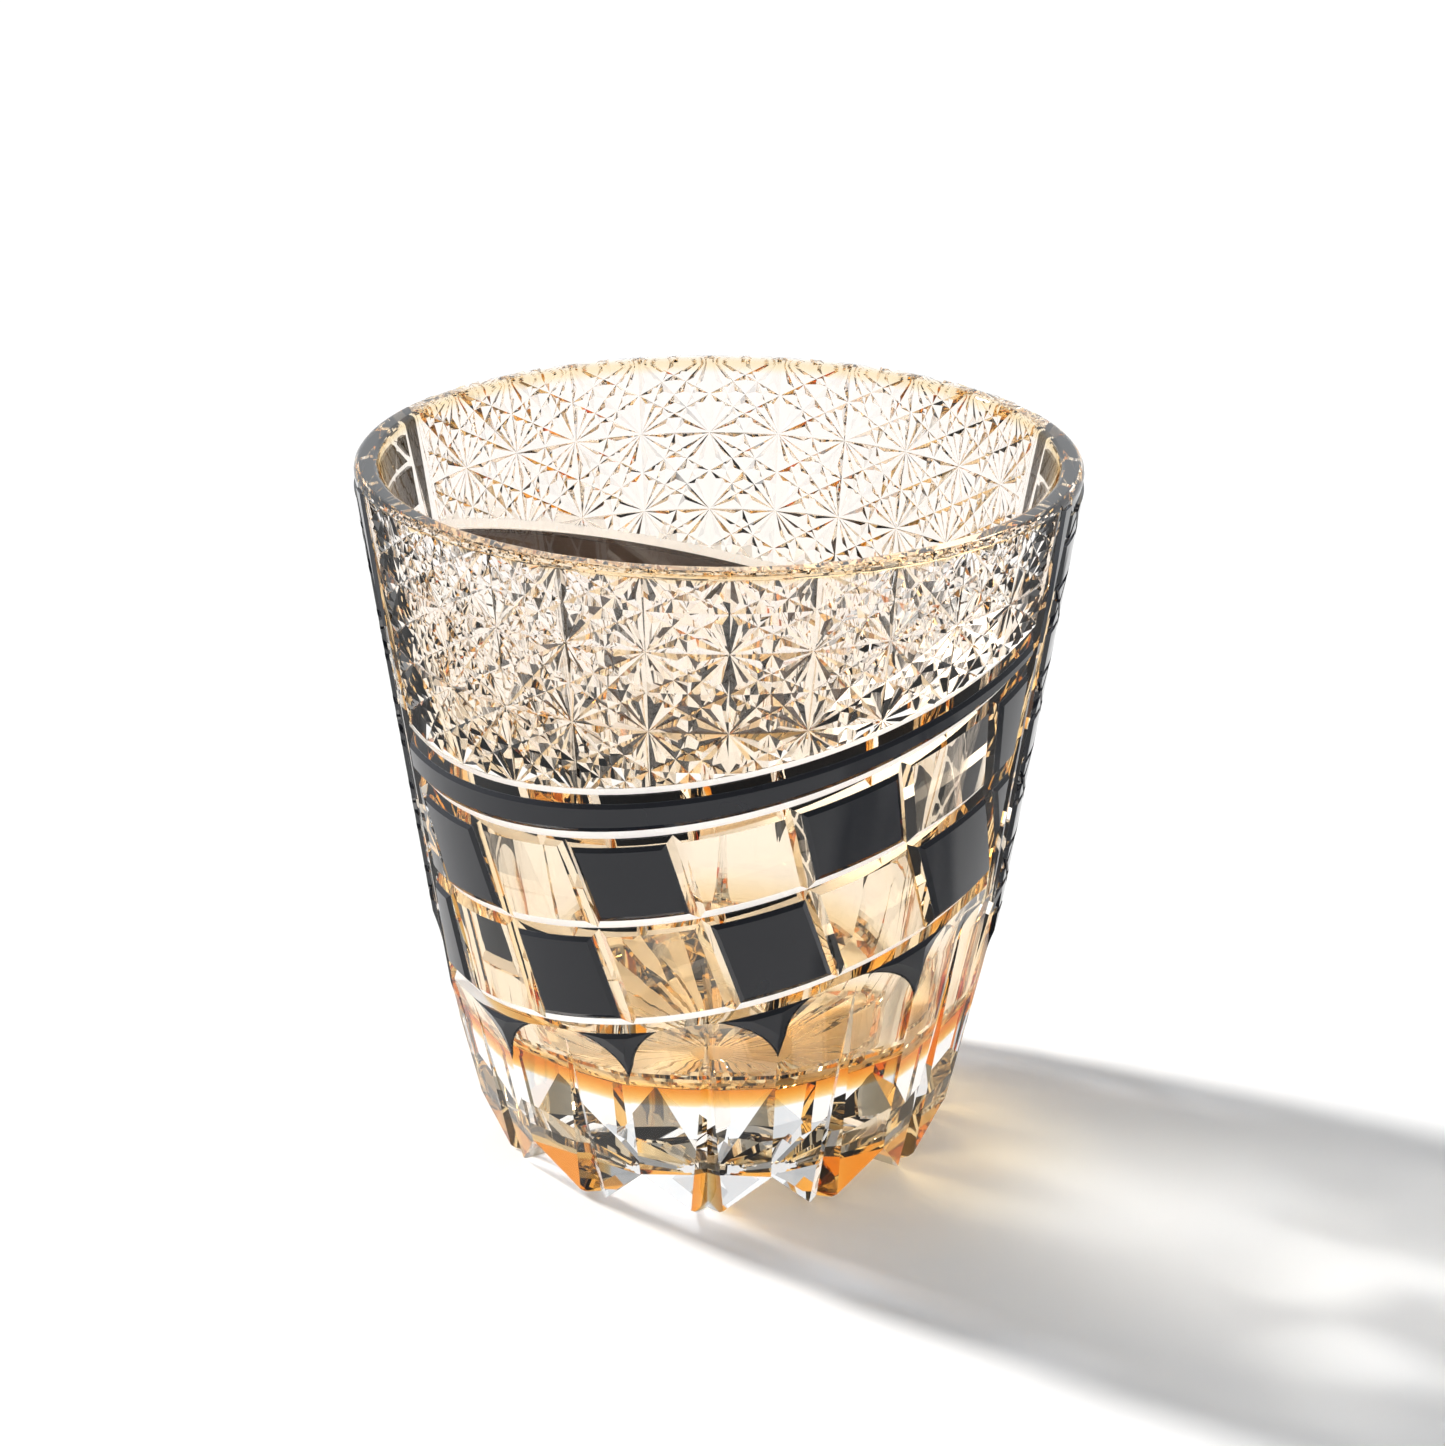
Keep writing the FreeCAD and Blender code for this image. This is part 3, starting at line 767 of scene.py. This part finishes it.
def satin_and_painted_glow_material():
    """Bright upper flank of a line groove: white satin, plus a weak painted glow, an emission that
    stands in for light the flank catches.
    """
    mat, nodes, links, out = material("satin_painted_glow_flank")
    glass = nodes.new("ShaderNodeBsdfPrincipled")
    glass.inputs["Transmission Weight"].default_value = 0.2
    # emission: painted glow, no lamp; it stands in for light the flank catches
    glass.inputs["Emission Color"].default_value = (1.0, 0.98, 0.95, 1.0)
    glass.inputs["Emission Strength"].default_value = 0.25
    glass.inputs["IOR"].default_value = CRYSTAL_IOR
    fine = noise(nodes, links, 500.0)
    shade = blend(nodes, links, fine, (0.95, 0.94, 0.92), (1.0, 1.0, 0.99))
    links.new(shade, glass.inputs["Base Color"])
    links.new(ramp(nodes, links, fine, 0.15, 0.35), glass.inputs["Roughness"])
    links.new(glass.outputs["BSDF"], out.inputs["Surface"])
    return mat


def is_satin_glow_flank(face):
    """Whether a crystal face is the upper flank of a line groove, which looks down; these faces
    get the satin with its painted glow.
    """
    tilt, deepest, under, over = -0.35, 2.0, -0.2, LINE_HALF + 0.6
    if face.normal.z > tilt:
        return False
    x, y, z = (c / MM for c in face.center)
    azimuth = (azimuth_of((x, y)) - SIDE_LEFT) % 180.0 + SIDE_LEFT
    if azimuth > SIDE_RIGHT or math.hypot(x, y) < wall(z) - deepest:
        return False
    return any(under < z - line_z(name, azimuth) < over for name in LINES)


def amber_material():
    """Coloured layer that does not bend light: a faint tint and depth of colour."""
    mat, nodes, links, out = material("amber_glass")
    clear = nodes.new("ShaderNodeBsdfTransparent")
    depth = nodes.new("ShaderNodeVolumeAbsorption")
    clear.inputs["Color"].default_value = (0.999, 0.984, 0.982, 1.0)
    depth.inputs["Color"].default_value = (0.948, 0.685, 0.03, 1.0)
    depth.inputs["Density"].default_value = 265.0
    links.new(clear.outputs["BSDF"], out.inputs["Surface"])
    links.new(depth.outputs["Volume"], out.inputs["Volume"])
    return mat


def black_material():
    """Opaque black glass with a slightly uneven gloss."""
    mat, nodes, links, out = material("black_overlay")
    glass = nodes.new("ShaderNodeBsdfPrincipled")
    tone = noise(nodes, links, 60.0)
    shade = blend(nodes, links, tone, (0.006, 0.007, 0.010), (0.014, 0.015, 0.020))
    links.new(shade, glass.inputs["Base Color"])
    fine = noise(nodes, links, 900.0)
    links.new(ramp(nodes, links, fine, 0.02, 0.07), glass.inputs["Roughness"])
    glass.inputs["IOR"].default_value = 1.45
    links.new(glass.outputs["BSDF"], out.inputs["Surface"])
    return mat


def fused_material():
    """Black overlay where it is fused to the crystal: no gloss of its own."""
    return matte_material("fused_overlay", 80.0, (0.004, 0.004, 0.005), (0.009, 0.008, 0.008), 1.0)


def painted_backlight_ribbon_material():
    """Fused side of the back ribbon, browner and lighter than the other overlay: painted
    backlight, standing in for light that shines through the ribbon from behind.
    """
    return matte_material("painted_backlit_overlay", 80.0, (0.10, 0.078, 0.070), (0.15, 0.118, 0.106), 1.0)


def floor_material():
    """Plain pale board."""
    return matte_material("pale_floor", 3.0, (0.86, 0.87, 0.885), (0.88, 0.885, 0.895), 0.9)


def is_fused(face):
    """Whether an overlay face looks inward from under the crystal's surface."""
    centre, normal = face.center, face.normal
    inward = normal.x * centre.x + normal.y * centre.y < 0.0
    return inward and math.hypot(centre.x, centre.y) / MM < wall(centre.z / MM)


def set_materials(obj, materials, second):
    """Put two materials on an object; faces that pass the test get the second."""
    obj.data.materials.clear()
    for mat in materials:
        obj.data.materials.append(mat)
    for face in obj.data.polygons:
        face.material_index = int(second(face))


# ------------------------------------------------------------------ build
crystal, lining, overlay = build()
pieces = split_overlay(overlay)
for side, turn in (("right", 0.0), ("left", 180.0)):
    slabs = lattice_slabs(LATTICE_MIDDLE + turn)
    for slab in slabs:
        boolean(pieces[side + "_lattice"], [slab])
    drop(slabs)

smooth(crystal, CRYSTAL_CREASE)
smooth(lining, LINING_CREASE)
crystal.name, lining.name = "glass_crystal_body", "glass_amber_lining"
set_materials(crystal, (crystal_material(), satin_and_painted_glow_material()), is_satin_glow_flank)
lining.data.materials.append(amber_material())
black, fused, back_ribbon = black_material(), fused_material(), painted_backlight_ribbon_material()
for name, piece in pieces.items():
    smooth(piece, OVERLAY_CREASE)
    # the back ribbon's fused faces get the painted backlight colour instead of the plain fused
    # black
    set_materials(piece, (black, back_ribbon if name == "back_ribbon" else fused), is_fused)

for obj, node, slot in ([(crystal, "crystal_body", "clear_crystal"),
                         (lining, "amber_lining", "amber_glass")]
                        + [(o, n, "black_overlay") for n, o in pieces.items()]):
    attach(obj, "root")
    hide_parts(node)


# ------------------------------------------------------------------ stage
def add_floor():
    half, drop_below = 6.0, 0.0001
    bm = bmesh.new()
    bmesh.ops.create_grid(bm, x_segments=8, y_segments=8, size=half)
    floor = new_object("floor", bm)
    floor.location = (0, 0, -drop_below)
    floor.data.materials.append(floor_material())


def add_world():
    """Soft studio light, dimmer overhead and toward the front."""
    world = bpy.data.worlds.new("studio")
    bpy.context.scene.world = world
    world.use_nodes = True
    nodes, links = world.node_tree.nodes, world.node_tree.links
    nodes.clear()
    out = nodes.new("ShaderNodeOutputWorld")
    sky = nodes.new("ShaderNodeBackground")
    sky.inputs["Color"].default_value = (0.95, 0.975, 1.0, 1.0)
    coords = nodes.new("ShaderNodeTexCoord")
    split = nodes.new("ShaderNodeSeparateXYZ")
    links.new(coords.outputs["Generated"], split.inputs["Vector"])
    level = nodes.new("ShaderNodeMath")
    level.operation = "MULTIPLY"
    links.new(ramp(nodes, links, split.outputs["Z"], 1.08, 0.30, 0.40, 0.75), level.inputs[0])
    links.new(ramp(nodes, links, split.outputs["Y"], 0.70, 1.0, -0.9, 0.3), level.inputs[1])
    links.new(level.outputs["Value"], sky.inputs["Strength"])
    links.new(sky.outputs["Background"], out.inputs["Surface"])


def add_sun():
    sun = bpy.data.lights.new("sun", "SUN")
    sun.energy = 4.25
    sun.color = (1.0, 0.97, 0.93)
    sun.angle = math.radians(5.0)
    lamp = bpy.data.objects.new("sun", sun)
    direction = Vector((0.875, -0.485, -0.72))
    lamp.rotation_euler = direction.to_track_quat("-Z", "Y").to_euler()
    bpy.context.scene.collection.objects.link(lamp)


def add_camera():
    """Camera at the photograph's viewing angle, on the side of the front."""
    pitch, roll = math.radians(22.913), math.radians(0.357)
    reach, aim = 451.5 * MM, 45.0 * MM
    view = bpy.data.cameras.new("camera")
    view.sensor_width = 36.0
    view.lens = 87.8
    view.shift_x, view.shift_y = 0.0038, 0.0488
    camera = bpy.data.objects.new("camera", view)
    place = (0.0, -math.cos(pitch) * reach, math.sin(pitch) * reach + aim)
    camera.matrix_world = (Matrix.Translation(place)
                           @ Matrix.Rotation(math.radians(90.0) - pitch, 4, "X")
                           @ Matrix.Rotation(roll, 4, "Z"))
    bpy.context.scene.collection.objects.link(camera)
    bpy.context.scene.camera = camera


def set_view():
    """Standard colours, and many bounces for light that crosses layer after layer."""
    scene = bpy.context.scene
    scene.view_settings.view_transform = "Standard"
    scene.cycles.max_bounces = 32
    scene.cycles.transmission_bounces = 32
    scene.cycles.glossy_bounces = 8
    scene.cycles.transparent_max_bounces = 24


add_floor()
add_world()
add_sun()
add_camera()
set_view()
